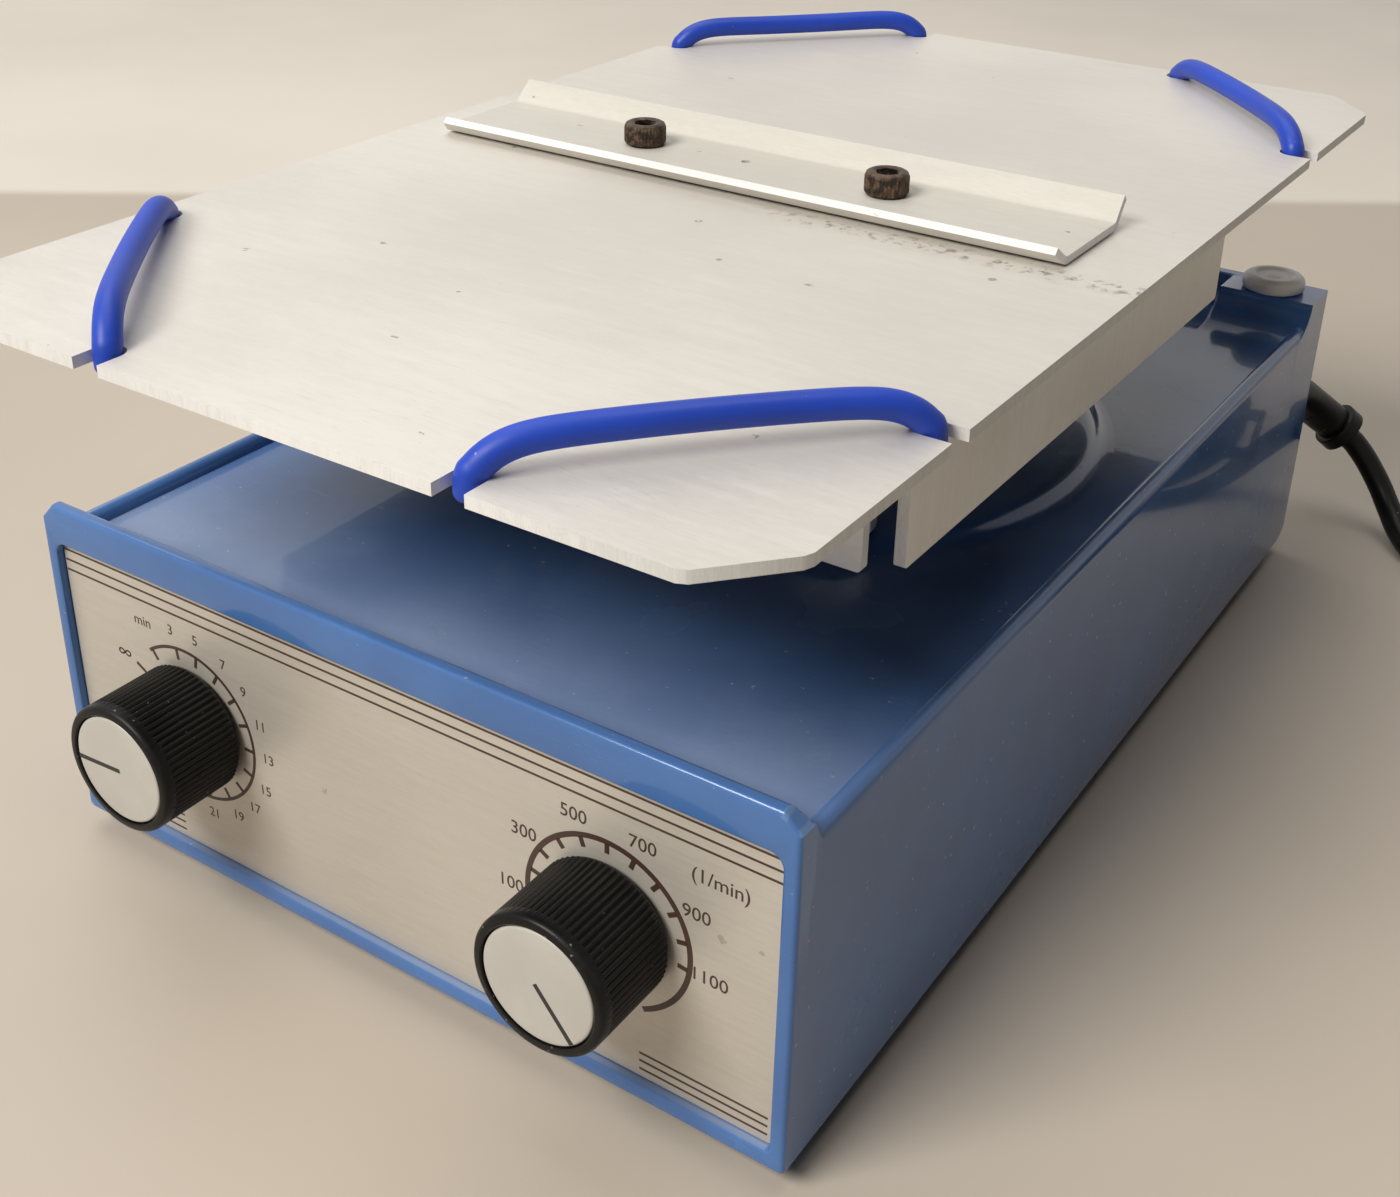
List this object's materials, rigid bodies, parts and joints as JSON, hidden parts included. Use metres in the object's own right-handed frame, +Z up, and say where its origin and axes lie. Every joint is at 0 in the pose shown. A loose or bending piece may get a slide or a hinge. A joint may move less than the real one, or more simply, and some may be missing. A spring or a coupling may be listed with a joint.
{
  "type": "orbital microplate shaker",
  "caption": "Bench shaker: blue die-cast box with timer and speed knobs drives a flat aluminium table on a small circular orbit, with a divider bar and corner straps for microplates.",
  "frame": {"origin": "on the standing surface under the middle of the table at rest, which is the middle of the bounding box without the mains lead", "axes": "+X to the right along the control panel, +Y from the control panel to the rear, +Z up"},
  "size_m": [0.318, 0.3755, 0.1267],
  "materials": {
    "blue_enamel": "glossy mid-blue enamel on a die-cast box",
    "satin_aluminium": "satin anodised sheet",
    "steel": "turned steel",
    "dark_steel": "dark, slightly rusted steel",
    "black_plastic": "satin black ribbed knob",
    "black_rubber": "matt black rubber",
    "blue_silicone": "ultramarine silicone tube",
    "milky_plastic": "translucent milky cap",
    "white_disc": "white knob disc",
    "brass": "turned brass bush",
    "board": "green circuit board"
  },
  "bodies": {
    "housing_body": {"housing": "blue_enamel", "base_plate": "satin_aluminium", "control_board": "board", "foot_1": "black_rubber", "foot_2": "black_rubber", "foot_3": "black_rubber", "foot_4": "black_rubber", "base_screw_1": "dark_steel", "base_screw_2": "dark_steel", "base_screw_3": "dark_steel", "base_screw_4": "dark_steel", "rod_plug": "milky_plastic", "front_panel": "satin_aluminium", "timer_control": "steel", "speed_control": "steel", "motor": "dark_steel", "motor_plate": "satin_aluminium", "motor_post_1": "steel", "motor_post_2": "steel", "motor_post_3": "steel", "drive_outer_race": "steel", "cord_sleeve": "black_rubber", "cord_run": "black_rubber", "cord_coil": "black_rubber", "cord_tail": "black_rubber", "coil_tie": "black_rubber", "plug_body": "black_rubber", "plug_pin_1": "steel", "plug_pin_2": "steel"},
    "timer_dial": {"timer_knob": "black_plastic", "timer_disc": "white_disc", "timer_spindle": "steel"},
    "speed_dial": {"speed_knob": "black_plastic", "speed_disc": "white_disc", "speed_spindle": "steel"},
    "eccentric_drive": {"drive_shaft": "steel", "drive_inner_race": "steel", "eccentric": "steel", "balance_weight": "dark_steel", "table_inner_race": "steel"},
    "table": {"table_hub": "satin_aluminium", "table_outer_race": "steel", "guide_bush_1": "brass", "guide_bush_2": "brass", "guide_bush_3": "brass", "guide_bush_4": "brass", "pan": "satin_aluminium", "table_plate": "satin_aluminium", "divider_bar": "satin_aluminium", "bar_screw_1": "dark_steel", "bar_screw_2": "dark_steel", "strap_1": "blue_silicone", "strap_2": "blue_silicone", "strap_3": "blue_silicone", "strap_4": "blue_silicone"},
    "crank_1": {"guide_crank_1": "steel"},
    "crank_2": {"guide_crank_2": "steel"},
    "crank_3": {"guide_crank_3": "steel"},
    "crank_4": {"guide_crank_4": "steel"}
  },
  "joints": [
    {"name": "timer_turn", "type": "hinge", "parent": "housing_body", "child": "timer_dial", "pos_m": [-0.046, -0.117, 0.0367], "axis": [0, 1, 0], "range_deg": [0, 285]},
    {"name": "speed_turn", "type": "hinge", "parent": "housing_body", "child": "speed_dial", "pos_m": [0.046, -0.117, 0.0367], "axis": [0, 1, 0], "range_deg": [-255, 15]},
    {"name": "drive_spin", "type": "hinge", "parent": "housing_body", "child": "eccentric_drive", "pos_m": [0, 0.0015, 0.07], "axis": [0, 0, 1], "continuous": true},
    {"name": "table_orbit", "type": "hinge", "parent": "eccentric_drive", "child": "table", "pos_m": [0, 0, 0.094], "axis": [0, 0, 1], "continuous": true},
    {"name": "crank_1_spin", "type": "hinge", "parent": "housing_body", "child": "crank_1", "pos_m": [-0.036, -0.0345, 0.07], "axis": [0, 0, 1], "continuous": true},
    {"name": "crank_2_spin", "type": "hinge", "parent": "housing_body", "child": "crank_2", "pos_m": [-0.036, 0.0375, 0.07], "axis": [0, 0, 1], "continuous": true},
    {"name": "crank_3_spin", "type": "hinge", "parent": "housing_body", "child": "crank_3", "pos_m": [0.036, -0.0345, 0.07], "axis": [0, 0, 1], "continuous": true},
    {"name": "crank_4_spin", "type": "hinge", "parent": "housing_body", "child": "crank_4", "pos_m": [0.036, 0.0375, 0.07], "axis": [0, 0, 1], "continuous": true}
  ],
  "couplings": [
    {"joint": "table_orbit", "follows": "drive_spin", "ratio": -1},
    {"joint": "crank_1_spin", "follows": "drive_spin", "ratio": 1},
    {"joint": "crank_2_spin", "follows": "drive_spin", "ratio": 1},
    {"joint": "crank_3_spin", "follows": "drive_spin", "ratio": 1},
    {"joint": "crank_4_spin", "follows": "drive_spin", "ratio": 1}
  ]
}
